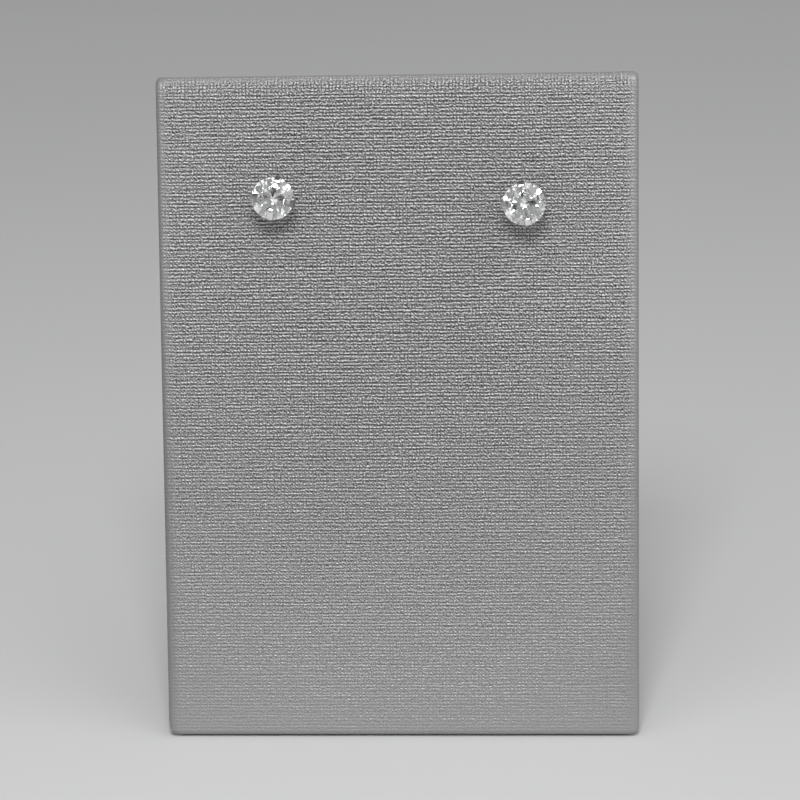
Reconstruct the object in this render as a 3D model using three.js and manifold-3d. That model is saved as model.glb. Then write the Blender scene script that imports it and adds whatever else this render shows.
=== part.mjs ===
// A pair of four-claw stud earrings on a paper-covered L-shaped display stand.
// Millimetres, +Z up, front towards -Y. The origin is at the middle of the base.
// Each stud has a round brilliant stone, a one-piece setting with its post, and a butterfly back.

import * as THREE from 'three';
import { mergeVertices } from 'three/addons/utils/BufferGeometryUtils.js';
import Module from 'manifold-3d';

const wasm = await Module();
wasm.setup();

// Display stand: one bent board, its panel leaning back over its foot
const standWidth = 50;
const panelHeight = 70;
const boardThickness = 2.4;
const leanDegrees = 12;
const footDepth = 40;
const bendRadius = 0.65;
const bendInnerRadius = 0.4;
const endRadius = 1.1;
const sideEdgeRadius = 0.5;
const postHoleDiameter = 1.4;

// Round brilliant stone
const stoneDiameter = 4.4;
const tableShare = 0.58;
const starLengthShare = 0.5;
const lowerHalfShare = 0.77;
const crownDegrees = 34.5;
const pavilionDegrees = 41;
const girdleHeight = 0.12;
const mainFacets = 8;

// Four-claw setting; heights are measured outwards from the panel's front face
const panelGap = 0.1;
const baseDiscDiameter = 2.5;
const baseDiscThickness = 0.3;
const culetGap = 0.08;
const stoneGap = 0.05;
const clawWidth = 0.8;
const clawThickness = 0.5;
const clawFootRadius = 1.15;
const clawShoulderRadius = 2.4;
const clawCover = 0.3;
const clawEdgeChamfer = 0.1;
const clawCornerRadius = 0.12;
const clawTipRadius = 0.14;
const clawShoulderRound = 0.28;
const clawFlareRadius = 0.6;
const clawFlareInnerRadius = 0.3;
const shoulderRise = 0.12;
const galleryHeight = 1.45;
const galleryInnerRadius = 1.35;
const galleryOuterRadius = 1.78;
const galleryBand = 0.35;
const postDiameter = 0.8;
const postLength = 9.6;
const postTipChamfer = 0.2;
const postSink = 0.2;
const discEdgeChamfer = 0.08;

// Butterfly back
const backGap = 0.1;
const backSheet = 0.3;
const curlRadius = 0.95;
const curlTurnDegrees = 250;
const curlPostGap = 0.06;
const backLength = 5.3;
const backWidth = 3.8;
const backHoleDiameter = 1.1;

// Each stud's place on the panel and its turn in the hole. Its claws are hand-set, so each has
// its own angle in degrees and its own reach in over the crown, from the top claw anticlockwise.
const studs = [
  {
    side: 'left',
    x: -12.7,
    belowTop: 12.7,
    turn: -13,
    claws: [[86, 0.75], [188, 1.25], [274, 1.42], [358, 1.12]],
  },
  {
    side: 'right',
    x: 13.15,
    belowTop: 13.5,
    turn: 12,
    claws: [[87, 0.7], [170, 1.13], [270, 0.95], [368, 0.93]],
  },
];

const roundSides = 32;
const postSides = 16;
const arcStep = THREE.MathUtils.degToRad(15);

// Levels along a stud's axis, worked out from the sizes above
const stoneRadius = stoneDiameter / 2;
const tableRadius = stoneRadius * tableShare;
const crownSlope = Math.tan(THREE.MathUtils.degToRad(crownDegrees));
const pavilionSlope = Math.tan(THREE.MathUtils.degToRad(pavilionDegrees));
const baseDiscTop = panelGap + baseDiscThickness;
const culetLevel = baseDiscTop + culetGap;
const girdleBottom = culetLevel + stoneRadius * pavilionSlope;
const girdleTop = girdleBottom + girdleHeight;
const tableLevel = girdleTop + (stoneRadius - tableRadius) * crownSlope;
const lean = THREE.MathUtils.degToRad(leanDegrees);

const paper = new THREE.MeshStandardMaterial({ color: 0x929396, roughness: 0.55, metalness: 0.1 });
const silver = new THREE.MeshStandardMaterial({ color: 0xe2e2e4, roughness: 0.12, metalness: 1 });
const stone = new THREE.MeshStandardMaterial({ color: 0xf3f6f8, roughness: 0.02, metalness: 0 });

function toSolid(geometry, matrix = new THREE.Matrix4()) {
  const bare = geometry.clone().applyMatrix4(matrix);
  bare.deleteAttribute('normal');
  bare.deleteAttribute('uv');
  const welded = mergeVertices(bare, 1e-5);
  return new wasm.Manifold(new wasm.Mesh({
    numProp: 3,
    vertProperties: Float32Array.from(welded.attributes.position.array),
    triVerts: Uint32Array.from(welded.index.array),
  }));
}

function toGeometry(solid) {
  const mesh = solid.getMesh();
  const geometry = new THREE.BufferGeometry();
  geometry.setAttribute('position', new THREE.BufferAttribute(Float32Array.from(mesh.vertProperties), 3));
  geometry.setIndex(new THREE.BufferAttribute(Uint32Array.from(mesh.triVerts), 1));
  return geometry;
}

function namedMesh(name, geometry, material) {
  const mesh = new THREE.Mesh(geometry, material);
  mesh.name = name;
  return mesh;
}

// Points of a closed outline whose corners are rounded, each by its own radius
function roundedOutline(corners) {
  const points = [];
  corners.forEach((corner, i) => {
    const before = corners[(i + corners.length - 1) % corners.length].at;
    const after = corners[(i + 1) % corners.length].at;
    const toBefore = before.clone().sub(corner.at).normalize();
    const toAfter = after.clone().sub(corner.at).normalize();
    const half = Math.acos(toBefore.dot(toAfter)) / 2;
    const start = corner.at.clone().addScaledVector(toBefore, corner.radius / Math.tan(half));
    const middle = toBefore.clone().add(toAfter).normalize();
    const centre = corner.at.clone().addScaledVector(middle, corner.radius / Math.sin(half));
    const turn = Math.sign(toBefore.cross(toAfter)) * (Math.PI - 2 * half);
    const steps = Math.max(2, Math.round(Math.abs(turn) / arcStep));
    for (let step = 0; step <= steps; step += 1) {
      points.push(start.clone().rotateAround(centre, (-turn * step) / steps));
    }
  });
  return points;
}

// A section of [radius, height] pairs turned about +Y, then set upright so that heights run along +Z
function turned(section, sides) {
  const points = section.map(([radius, height]) => new THREE.Vector2(radius, height));
  return new THREE.LatheGeometry(points, sides).rotateX(Math.PI / 2);
}

// A flat-sided ring about the axis
function turnedBand(innerRadius, outerRadius, low, high) {
  const corners = [[innerRadius, low], [outerRadius, low], [outerRadius, high], [innerRadius, high]];
  return turned([...corners, corners[0]], roundSides);
}

// A round hole through a sheet, on the axis
function drill(diameter, sheet) {
  return new THREE.CylinderGeometry(diameter / 2, diameter / 2, 3 * sheet, postSides).rotateX(Math.PI / 2);
}

// From the panel's own frame (x right, y up the slope, z out of its front) to the stand's
function panelFrame() {
  return new THREE.Matrix4().makeRotationX(Math.PI / 2 - lean);
}

function studPlace(stud) {
  return new THREE.Matrix4().makeTranslation(stud.x, panelHeight - stud.belowTop, 0);
}

// The stand's side outline in (Y, Z), from its front lower corner, run across its width
// and drilled for the posts
function standGeometry() {
  const up = new THREE.Vector2(Math.sin(lean), Math.cos(lean));
  const back = new THREE.Vector2(Math.cos(lean), -Math.sin(lean));
  const topFront = up.clone().multiplyScalar(panelHeight);
  const topBack = topFront.clone().addScaledVector(back, boardThickness);
  const innerAlong = (boardThickness - boardThickness * back.y) / up.y;
  const inner = up.clone().multiplyScalar(innerAlong).addScaledVector(back, boardThickness);
  const outline = roundedOutline([
    { at: new THREE.Vector2(0, 0), radius: bendRadius },
    { at: new THREE.Vector2(footDepth, 0), radius: endRadius },
    { at: new THREE.Vector2(footDepth, boardThickness), radius: endRadius },
    { at: inner, radius: bendInnerRadius },
    { at: topBack, radius: endRadius },
    { at: topFront, radius: endRadius },
  ]);
  const board = new THREE.ExtrudeGeometry(new THREE.Shape(outline), {
    depth: standWidth - 2 * sideEdgeRadius,
    bevelThickness: sideEdgeRadius,
    bevelSize: sideEdgeRadius,
    bevelOffset: -sideEdgeRadius,
    bevelSegments: 3,
  });
  const outlineToStand = new THREE.Matrix4().makeBasis(
    new THREE.Vector3(0, 1, 0),
    new THREE.Vector3(0, 0, 1),
    new THREE.Vector3(1, 0, 0),
  );
  outlineToStand.setPosition(-standWidth / 2 + sideEdgeRadius, 0, 0);
  let solid = toSolid(board, outlineToStand);
  for (const stud of studs) {
    const hole = drill(postHoleDiameter, boardThickness);
    solid = solid.subtract(toSolid(hole, panelFrame().multiply(studPlace(stud))));
  }
  return toGeometry(solid);
}

// A flat facet as a fan of triangles
function addFacet(positions, corners) {
  for (let i = 1; i + 1 < corners.length; i += 1) {
    for (const corner of [corners[0], corners[i], corners[i + 1]]) {
      positions.push(corner.x, corner.y, corner.z);
    }
  }
}

function polar(radius, angle, level) {
  return new THREE.Vector3(radius * Math.cos(angle), radius * Math.sin(angle), level);
}

// Radius and level of the points where star, main and upper half facets meet
function starPoint() {
  const halfStep = Math.PI / mainFacets;
  const tableFlat = tableRadius * Math.cos(halfStep);
  const radius = tableFlat + starLengthShare * (stoneRadius - tableFlat);
  const level = tableLevel - (radius * Math.cos(halfStep) - tableRadius) * crownSlope;
  return { radius, level };
}

// Radius and level of the points where main and lower half facets meet
function lowerPoint() {
  const radius = stoneRadius * (1 - lowerHalfShare);
  const level = culetLevel + radius * Math.cos(Math.PI / mainFacets) * pavilionSlope;
  return { radius, level };
}

// The girdle point midway between two others, on the facet that they make with an apex
function scallop(apex, first, second) {
  const plane = new THREE.Plane().setFromCoplanarPoints(apex, first, second);
  const angle = Math.atan2(first.y + second.y, first.x + second.x);
  const foot = polar(stoneRadius, angle, 0);
  foot.z = -(plane.normal.x * foot.x + plane.normal.y * foot.y + plane.constant) / plane.normal.z;
  return foot;
}

// Table, 8 stars, 8 mains and 16 halves above the girdle; 16 halves and 8 mains below it
function brilliantGeometry() {
  const star = starPoint();
  const lower = lowerPoint();
  const step = (2 * Math.PI) / mainFacets;
  const positions = [];
  const culet = new THREE.Vector3(0, 0, culetLevel);
  const tableCorners = [];
  for (let k = 0; k < mainFacets; k += 1) {
    const here = k * step;
    const half = here + step / 2;
    const next = here + step;
    const tableHere = polar(tableRadius, here, tableLevel);
    const tableNext = polar(tableRadius, next, tableLevel);
    const starBefore = polar(star.radius, half - step, star.level);
    const starHere = polar(star.radius, half, star.level);
    const lowerBefore = polar(lower.radius, half - step, lower.level);
    const lowerHere = polar(lower.radius, half, lower.level);
    tableCorners.push(tableHere);
    addFacet(positions, [tableHere, starHere, tableNext]);
    addFacet(positions, [tableHere, starBefore, polar(stoneRadius, here, girdleTop), starHere]);
    addFacet(positions, [culet, lowerHere, polar(stoneRadius, here, girdleBottom), lowerBefore]);
    for (const [from, to] of [[here, half], [half, next]]) {
      const topFrom = polar(stoneRadius, from, girdleTop);
      const topTo = polar(stoneRadius, to, girdleTop);
      const bottomFrom = polar(stoneRadius, from, girdleBottom);
      const bottomTo = polar(stoneRadius, to, girdleBottom);
      const topMiddle = scallop(starHere, topFrom, topTo);
      const bottomMiddle = scallop(lowerHere, bottomFrom, bottomTo);
      addFacet(positions, [starHere, topFrom, topMiddle, topTo]);
      addFacet(positions, [lowerHere, bottomTo, bottomMiddle, bottomFrom]);
      addFacet(positions, [topFrom, bottomFrom, bottomMiddle, topMiddle]);
      addFacet(positions, [topMiddle, bottomMiddle, bottomTo, topTo]);
    }
  }
  addFacet(positions, tableCorners);
  const geometry = new THREE.BufferGeometry();
  geometry.setAttribute('position', new THREE.Float32BufferAttribute(positions, 3));
  return geometry;
}

// The turned space that the stone needs in the setting, a little larger than the stone
function stoneClearance() {
  const star = starPoint();
  const lower = lowerPoint();
  return turned([
    [0, culetLevel - stoneGap],
    [lower.radius + stoneGap, lower.level - stoneGap],
    [stoneRadius + stoneGap, girdleBottom - stoneGap],
    [stoneRadius + stoneGap, girdleTop + stoneGap],
    [star.radius + stoneGap, star.level + stoneGap],
    [tableRadius + stoneGap, tableLevel + stoneGap],
    [0, tableLevel + stoneGap],
  ], roundSides);
}

// One claw: a bent bar, standing on the base disc and folded in over the crown by its reach
function clawGeometry(angleDegrees, reach) {
  const tip = clawShoulderRadius - reach;
  const crown = Math.min(girdleTop + (stoneRadius - tip) * crownSlope, tableLevel) + stoneGap;
  const flare = girdleBottom - clawThickness;
  const shoulder = girdleTop + shoulderRise + clawCover;
  const outline = roundedOutline([
    { at: new THREE.Vector2(clawFootRadius - clawThickness, panelGap), radius: clawCornerRadius },
    { at: new THREE.Vector2(clawFootRadius, panelGap), radius: clawCornerRadius },
    { at: new THREE.Vector2(clawShoulderRadius, flare), radius: clawFlareRadius },
    { at: new THREE.Vector2(clawShoulderRadius, shoulder), radius: clawShoulderRound },
    { at: new THREE.Vector2(tip, crown + clawCover), radius: clawTipRadius },
    { at: new THREE.Vector2(tip, crown - clawCover), radius: clawCornerRadius },
    { at: new THREE.Vector2(clawShoulderRadius - clawThickness, flare), radius: clawFlareInnerRadius },
  ]);
  const bar = new THREE.ExtrudeGeometry(new THREE.Shape(outline), {
    depth: clawWidth - 2 * clawEdgeChamfer,
    bevelThickness: clawEdgeChamfer,
    bevelSize: clawEdgeChamfer,
    bevelOffset: -clawEdgeChamfer,
    bevelSegments: 1,
  });
  bar.translate(0, 0, clawEdgeChamfer - clawWidth / 2);
  return bar.rotateX(Math.PI / 2).rotateZ(THREE.MathUtils.degToRad(angleDegrees));
}

// Base disc, post, gallery ring and four claws, soldered into one solid
function settingGeometry(stud) {
  const discRadius = baseDiscDiameter / 2;
  const postRadius = postDiameter / 2;
  let solid = toSolid(turned([
    [0, -postLength],
    [postRadius - postTipChamfer, -postLength],
    [postRadius, -postLength + postTipChamfer],
    [postRadius, panelGap + postSink],
    [0, panelGap + postSink],
  ], postSides));
  solid = solid.add(toSolid(turned([
    [0, panelGap],
    [discRadius - discEdgeChamfer, panelGap],
    [discRadius, panelGap + discEdgeChamfer],
    [discRadius, baseDiscTop],
    [0, baseDiscTop],
  ], roundSides)));
  solid = solid.add(toSolid(turnedBand(
    galleryInnerRadius, galleryOuterRadius,
    galleryHeight - galleryBand / 2, galleryHeight + galleryBand / 2,
  )));
  stud.claws.forEach(([angleDegrees, reach]) => {
    solid = solid.add(toSolid(clawGeometry(angleDegrees, reach)));
  });
  return toGeometry(solid.subtract(toSolid(stoneClearance())));
}

// The middle line of the butterfly's sheet, from the plate round one curl, in (x, z)
function curlLine(side) {
  const centreX = postDiameter / 2 + curlPostGap + backSheet / 2 + curlRadius;
  const turn = THREE.MathUtils.degToRad(curlTurnDegrees);
  const steps = Math.round(turn / arcStep);
  const points = [];
  for (let step = 0; step <= steps; step += 1) {
    const angle = Math.PI / 2 - (turn * step) / steps;
    const out = new THREE.Vector2(Math.cos(angle), Math.sin(angle));
    points.push({ at: new THREE.Vector2(centreX + curlRadius * out.x, curlRadius * (out.y - 1)), out });
  }
  return points.map(({ at, out }) => ({
    at: new THREE.Vector2(side * at.x, at.y),
    out: new THREE.Vector2(side * out.x, out.y),
  }));
}

// A strip of sheet curled back on both sides of the post, rounded to an oval from the front
function butterflyGeometry() {
  const right = curlLine(1);
  const left = curlLine(-1).reverse();
  const line = [...left, ...right];
  const offset = (point, distance) => point.at.clone().addScaledVector(point.out, distance);
  const outline = [
    ...line.map((point) => offset(point, backSheet / 2)),
    ...[...line].reverse().map((point) => offset(point, -backSheet / 2)),
  ];
  const strip = new THREE.ExtrudeGeometry(new THREE.Shape(outline), {
    depth: backWidth,
    bevelEnabled: false,
  });
  strip.translate(0, 0, -backWidth / 2).rotateX(Math.PI / 2);
  const level = -boardThickness - backGap - backSheet / 2;
  const oval = new THREE.CylinderGeometry(1, 1, 4 * curlRadius, roundSides).rotateX(Math.PI / 2);
  oval.scale(backLength / 2, backWidth / 2, 1).translate(0, 0, -curlRadius);
  const hole = drill(backHoleDiameter, backSheet);
  const solid = toSolid(strip).intersect(toSolid(oval)).subtract(toSolid(hole));
  return toGeometry(solid).translate(0, 0, level);
}

function studGroup(stud) {
  const head = new THREE.Group();
  head.add(namedMesh(`${stud.side}_stone`, brilliantGeometry(), stone));
  head.add(namedMesh(`${stud.side}_setting`, settingGeometry(stud), silver));
  head.rotation.z = THREE.MathUtils.degToRad(stud.turn);
  const group = new THREE.Group();
  group.add(head);
  group.add(namedMesh(`${stud.side}_butterfly_back`, butterflyGeometry(), silver));
  group.applyMatrix4(studPlace(stud));
  return group;
}

const panel = new THREE.Group();
panel.applyMatrix4(panelFrame());
studs.forEach((stud) => panel.add(studGroup(stud)));

const stand = namedMesh('display_stand', standGeometry(), paper);
const standBox = new THREE.Box3().setFromObject(stand);

const earrings = new THREE.Group();
earrings.add(stand, panel);
earrings.position.y = -(standBox.min.y + standBox.max.y) / 2;

export default earrings;
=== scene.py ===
# %% [markdown]
# # Stud earrings on a linen-covered stand
#
# Two clear round stones sit in four-claw silver settings, and their posts pass through a small
# L-shaped stand covered in pearl-grey paper that is embossed like linen.
# This file dresses the fixed model of that object. It makes the camera first, then the paper-covered
# stand, the stones, the claw settings and the curled backs, then the floor and the light.
# Everything is in metres and in the model's own frame: +X right, -Y towards the viewer, +Z up.

import math

import bmesh
import bpy
import numpy as np
from mathutils import Matrix, Vector, noise


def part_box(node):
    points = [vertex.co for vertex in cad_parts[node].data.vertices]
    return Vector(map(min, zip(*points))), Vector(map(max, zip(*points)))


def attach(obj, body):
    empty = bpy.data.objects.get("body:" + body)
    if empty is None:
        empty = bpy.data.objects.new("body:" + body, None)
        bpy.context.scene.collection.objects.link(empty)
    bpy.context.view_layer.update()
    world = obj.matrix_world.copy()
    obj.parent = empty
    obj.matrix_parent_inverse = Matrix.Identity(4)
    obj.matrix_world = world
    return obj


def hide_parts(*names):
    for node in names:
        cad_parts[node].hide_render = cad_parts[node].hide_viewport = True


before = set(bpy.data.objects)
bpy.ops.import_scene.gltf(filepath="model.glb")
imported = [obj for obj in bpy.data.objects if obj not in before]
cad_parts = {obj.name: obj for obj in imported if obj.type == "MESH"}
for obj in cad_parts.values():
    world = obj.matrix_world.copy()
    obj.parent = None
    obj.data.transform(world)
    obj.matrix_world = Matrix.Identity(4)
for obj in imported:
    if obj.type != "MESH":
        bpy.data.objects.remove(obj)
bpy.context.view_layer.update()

MM = 0.001

# %% [markdown]
# ## The panel's own frame
#
# The panel leans back, and the studs stand square to it. It is easier to think of them on the sheet
# itself: x to the right, y up the slope from the front lower corner, z straight out of the paper.
# One matrix carries that frame into the model's, so each stud is made upright at the origin and then
# set in its place by a single multiplication.

# %% Panel frame and stud places
LEAN = math.radians(12)
PANEL_HEIGHT = 70 * MM
BOARD = 2.4 * MM
BEND_RADIUS = 0.65 * MM
END_RADIUS = 1.1 * MM
INNER_RADIUS = 0.4 * MM

stand_low, stand_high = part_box("display_stand")
bend_reach = BEND_RADIUS / math.tan((math.pi / 2 - LEAN) / 2)
front_line = stand_low.y - (bend_reach - BEND_RADIUS)
HALF_WIDTH = stand_high.x
FOOT_DEPTH = stand_high.y - front_line

panel = Matrix.Translation((0, front_line, 0)) @ Matrix.Rotation(math.pi / 2 - LEAN, 4, "X")

# Claws: each one's angle in degrees and its reach in over the crown in mm, from the top anticlockwise.
# Spin: how far the stone's facets are turned in the setting.
STUDS = {
    "left": {"x": -12.7 * MM, "below_top": 12.7 * MM, "turn": math.radians(-13),
             "spin": math.radians(22.5),
             "claws": ((86, 0.75), (188, 1.25), (274, 1.42), (358, 1.12))},
    "right": {"x": 13.15 * MM, "below_top": 13.5 * MM, "turn": math.radians(12),
              "spin": 0.0,
              "claws": ((87, 0.7), (170, 1.13), (270, 0.95), (368, 0.93))},
}


def stud_place(stud):
    """From a stud's own frame, z out along its post, to the model's frame."""
    return (panel @ Matrix.Translation((stud["x"], PANEL_HEIGHT - stud["below_top"], 0))
            @ Matrix.Rotation(stud["turn"], 4, "Z"))


for side, stud in STUDS.items():
    print(side, "stud stands at, in mm:", [round(1000 * c, 2) for c in stud_place(stud).translation])

# %% [markdown]
# ## Camera
#
# The four corners of the panel give the viewpoint: a long lens a quarter of a metre away, a little
# right of the middle and a little below the top edge, looking down at about eighteen degrees.
# The camera is set in the panel's frame, where those corners were matched, and then carried over.

# %% Camera
LENS = 108
SENSOR = 36
EYE = Vector((11.56, 62.08, 249.5)) * MM
LOOK_DOWN = math.radians(5.935)
LOOK_LEFT = math.radians(2.636)
ROLL = math.radians(-0.642)

camera_data = bpy.data.cameras.new("camera")
camera_data.lens = LENS
camera_data.sensor_width = SENSOR
camera_data.clip_start = 0.01
camera_data.clip_end = 20
camera = bpy.data.objects.new("camera", camera_data)
aim = (Matrix.Rotation(LOOK_LEFT, 4, "Y") @ Matrix.Rotation(-LOOK_DOWN, 4, "X")
       @ Matrix.Rotation(ROLL, 4, "Z"))
camera.matrix_world = panel @ Matrix.Translation(EYE) @ aim
bpy.context.scene.collection.objects.link(camera)
bpy.context.scene.camera = camera
print("camera at, in mm:", [round(1000 * c, 1) for c in camera.matrix_world.translation])

# %% [markdown]
# ## Small helpers for node trees
#
# Both materials and Geometry Nodes are trees of nodes. One helper adds a node, sets its options and
# fills its sockets, either with a value or with a link from another node, so that a tree reads from
# top to bottom like a recipe. Three short ones stand for the nodes that come up most: a sum, a ramp
# and a cloud of soft noise.

# %% Node helpers


def add_node(tree, kind, inputs=None, **options):
    """A new node with its options set. An input is a value, or the output socket that feeds it."""
    node = tree.nodes.new(kind)
    for key, value in options.items():
        setattr(node, key, value)
    for key, value in (inputs or {}).items():
        socket = node.inputs[key]
        if isinstance(value, bpy.types.NodeSocket):
            tree.links.new(value, socket)
        else:
            socket.default_value = value
    return node


def calculate(tree, operation, *values):
    """The result of one sum on numbers or sockets."""
    return add_node(tree, "ShaderNodeMath", dict(enumerate(values)), operation=operation).outputs[0]


def ramp(tree, value, start, end, low, high):
    """From low at start to high at end, and level beyond both."""
    limits = {"Value": value, 1: start, 2: end, 3: low, 4: high}
    return add_node(tree, "ShaderNodeMapRange", limits).outputs[0]


def cloud(tree, place, scale, detail):
    """Soft noise around 0.5, with this many lumps to the unit."""
    sizes = {"Vector": place, "Scale": scale, "Detail": detail}
    return add_node(tree, "ShaderNodeTexNoise", sizes).outputs[0]


def new_material(name):
    """An empty node material and its tree."""
    material = bpy.data.materials.new(name)
    material.use_nodes = True
    material.node_tree.nodes.clear()
    return material, material.node_tree


def finish_material(tree, surface, **values):
    """The shader's own sockets, set or linked, and the output."""
    shader = add_node(tree, "ShaderNodeBsdfPrincipled", surface)
    for key, value in values.items():
        shader.inputs[key.replace("_", " ")].default_value = value
    add_node(tree, "ShaderNodeOutputMaterial", {"Surface": shader.outputs[0]})


# %% [markdown]
# ## Linen-embossed pearl paper
#
# The covering is a coated paper pressed between rollers. The relief is not woven: it is a net of
# fine ribs, about 2.7 to the millimetre each way, and the ribs across the panel stand higher than
# the ones up it. Each rib wanders, swells and thins a little, as real thread would.
# A picture of linen would blur or repeat, so the net is worked out from the sheet's own coordinates,
# which follow the paper round the edges: u across, and v up the panel from 0 at the fold.

# %% Ribs counted across the sheet
ROW_PITCH_MM = 0.37
COLUMN_PITCH_MM = 0.375
# each wander: its lumps per mm across and along the sheet, and how many pitches it moves a rib
ROW_WANDERS = (((0.12, 1.0, 1), 0.9), ((1.6, 1.3, 1), 0.3))
COLUMN_WANDERS = (((1.2, 0.3, 1), 0.9), ((1.3, 2.4, 1), 0.6))


def waver(tree, sheet, scale, amount):
    """A slow wander for a family of ribs, in parts of a pitch."""
    stretched = add_node(tree, "ShaderNodeMapping", {"Vector": sheet, "Scale": scale})
    centred = calculate(tree, "SUBTRACT", cloud(tree, stretched.outputs[0], 1.0, 2.0), 0.5)
    return calculate(tree, "MULTIPLY", centred, amount)


def rib_turns(tree, sheet, distance, pitch, wanders):
    """A distance across the ribs counted in ribs, so that each crown is a whole number."""
    wander = calculate(tree, "ADD", *[waver(tree, sheet, scale, amount) for scale, amount in wanders])
    return calculate(tree, "ADD", calculate(tree, "DIVIDE", distance, pitch), wander)


def wave(tree, turns):
    """From 1 on a crown to -1 in the hollow half a turn on."""
    return calculate(tree, "COSINE", calculate(tree, "MULTIPLY", turns, 2 * math.pi))


def uneven(tree, first, second, low, high):
    """One random number between low and high for each pair of whole numbers."""
    pair = add_node(tree, "ShaderNodeCombineXYZ", {
        0: calculate(tree, "ROUND", first), 1: calculate(tree, "ROUND", second)})
    chance = add_node(
        tree, "ShaderNodeTexWhiteNoise", {"Vector": pair.outputs[0]}, noise_dimensions="2D")
    return calculate(tree, "MULTIPLY_ADD", chance.outputs[0], high - low, low)


print("linen ribs per mm:", round(1 / ROW_PITCH_MM, 2), "up the panel and",
      round(1 / COLUMN_PITCH_MM, 2), "across it")

# %% [markdown]
# The ribs across the panel are a row wave, and it is pinched wherever a rib up the panel crosses it,
# which makes a string of beads. No two beads are quite the same, so each has its own random size.
# A fainter wave along the slant makes the beads lean in the Bump, and in the colour it is painted shade,
# the light and dark that light from one side draws across the beads. One with a third more rows keeps
# the rows from looking ruled. Right at the top edge the ribs up the panel stand out instead, in short
# strokes.

# %% The net of ribs
BEAD_PINCH, ROW_SHARE = 0.36, 0.86
SLANT_PAINTED_SHADE_SHARE, COLUMN_SHARE, BEAT_SHARE = 0.19, 0.07, 0.3
BEAT_TURNS = 4 / 3
NET_LEVEL = 0.1
# the smallest and largest of what varies at random
ROW_SLIPS, ROW_SIZES, BEAD_SIZES, STROKE_SIZES = (-0.1, 0.1), (0.88, 1.12), (0.74, 1.26), (0.1, 1.1)
GRAIN_PER_MM, GRAIN_SHARE = 6.0, 6.6


def bead_net(tree, row_turns, column_turns, columns):
    """Beads on the rows, a little of the columns, their slant, which is partly painted shade, and their
    beat.
    """
    slip = uneven(tree, row_turns, column_turns, *ROW_SLIPS)
    rows = wave(tree, calculate(tree, "ADD", row_turns, slip))
    row_size = uneven(tree, row_turns, 0.0, *ROW_SIZES)
    bead_size = uneven(tree, column_turns, row_turns, *BEAD_SIZES)
    pinch = calculate(tree, "MULTIPLY_ADD", columns, BEAD_PINCH, ROW_SHARE)
    size = calculate(tree, "MULTIPLY", calculate(tree, "MULTIPLY", row_size, bead_size), pinch)
    relief = calculate(tree, "MULTIPLY", rows, size)
    # Painted shade: the slant wave draws the light and dark of light from one side across the beads.
    slant_painted_shade = wave(tree, calculate(tree, "ADD", row_turns, column_turns))
    beat = wave(tree, calculate(tree, "MULTIPLY", row_turns, BEAT_TURNS))
    for part, share in ((slant_painted_shade, SLANT_PAINTED_SHADE_SHARE), (columns, COLUMN_SHARE), (beat, BEAT_SHARE)):
        relief = calculate(tree, "MULTIPLY_ADD", part, share, relief)
    return calculate(tree, "SUBTRACT", relief, NET_LEVEL)


def linen_relief(tree, sheet, across, along, near_top):
    """The whole relief before pressing: the net, the strokes at the top edge and the paper's grain."""
    row_turns = rib_turns(tree, sheet, along, ROW_PITCH_MM, ROW_WANDERS)
    column_turns = rib_turns(tree, sheet, across, COLUMN_PITCH_MM, COLUMN_WANDERS)
    columns = wave(tree, column_turns)
    net = bead_net(tree, row_turns, column_turns, columns)
    two_rows = calculate(tree, "MULTIPLY", row_turns, 0.5)
    strokes = calculate(tree, "MULTIPLY", columns, uneven(tree, column_turns, two_rows, *STROKE_SIZES))
    swapped = add_node(tree, "ShaderNodeMix", {0: near_top, 2: net, 3: strokes}, data_type="FLOAT")
    grain = calculate(tree, "SUBTRACT", cloud(tree, sheet, GRAIN_PER_MM, 1.0), 0.5)
    return calculate(tree, "MULTIPLY_ADD", grain, GRAIN_SHARE, swapped.outputs[0])


print("beads per square mm:", round(1 / (ROW_PITCH_MM * COLUMN_PITCH_MM), 1))

# %% [markdown]
# The relief is deepest high on the panel, fades towards the fold, and is nearly lost over the side edges,
# where the paper is drawn tight. In the colour, the fade towards the fold also evens out the ribs'
# painted light and shade, standing in for the evener light near the floor. Where the relief is flattest
# the tone is raised by up to a quarter, and at middling depth it is lowered slightly.
# The ribs lift the surface through Bump. They also carry some of the colour, as a power of the relief,
# so that equal steps in depth look equal: this is painted light and shade, lighter on the crests and
# darker in the hollows, on top of the shading that the Bump gives.

# %% Linen paper material
RIB_HEIGHT = 0.10 * MM
PEARL, RIB_PAINTED_SHADING, PALEST = 0.268, 2.58, 0.85
TOP_EDGE_MM = 70.3
# what a ramp goes from and to in mm, and its value at each
STROKES_FADE = (1.2, 2.8, 0.6, 0.0)
TOP_FADE = (0.5, 1.3, 0.35, 1.0)
SIDE_WEAR, SIDE_RUB = (23.5, 24.7, 1.0, 0.15), (9.0, 22.0, 1.0, 0.8)
# The left edge's ramp paints shade on the rounded left edge, which turns away from the light.
LEFT_EDGE_PAINTED_SHADE = (-24.7, -23.8, 0.8, 1.0)
# what a value is multiplied by, and what is then added
PRESSED_NEAR, PRESSED_FAR = (0.0255, 0.119), (0.0189, 0.146)
PATCHES, MOTTLE = (0.5, 0.76), (0.05, 0.975)
PATCHES_PER_MM, MOTTLE_PER_MM = 0.45, 0.09
# The second pair paints a highlight along the top edge, where light from above falls on the rounded top.
FLAT_LIFT, TOP_PAINTED_HIGHLIGHT = (0.78, -0.53), (0.2, 1.0)


def pressing(tree, along, from_top):
    """How deep the relief is: from next to nothing at the fold to full high on the panel."""
    from_fold = calculate(tree, "ABSOLUTE", along)
    near_fold = calculate(tree, "MULTIPLY_ADD", from_fold, *PRESSED_NEAR)
    further_up = calculate(tree, "MULTIPLY_ADD", from_fold, *PRESSED_FAR)
    pressed = calculate(tree, "MINIMUM", near_fold, further_up)
    return calculate(tree, "MINIMUM", pressed, ramp(tree, from_top, *TOP_FADE))


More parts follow.
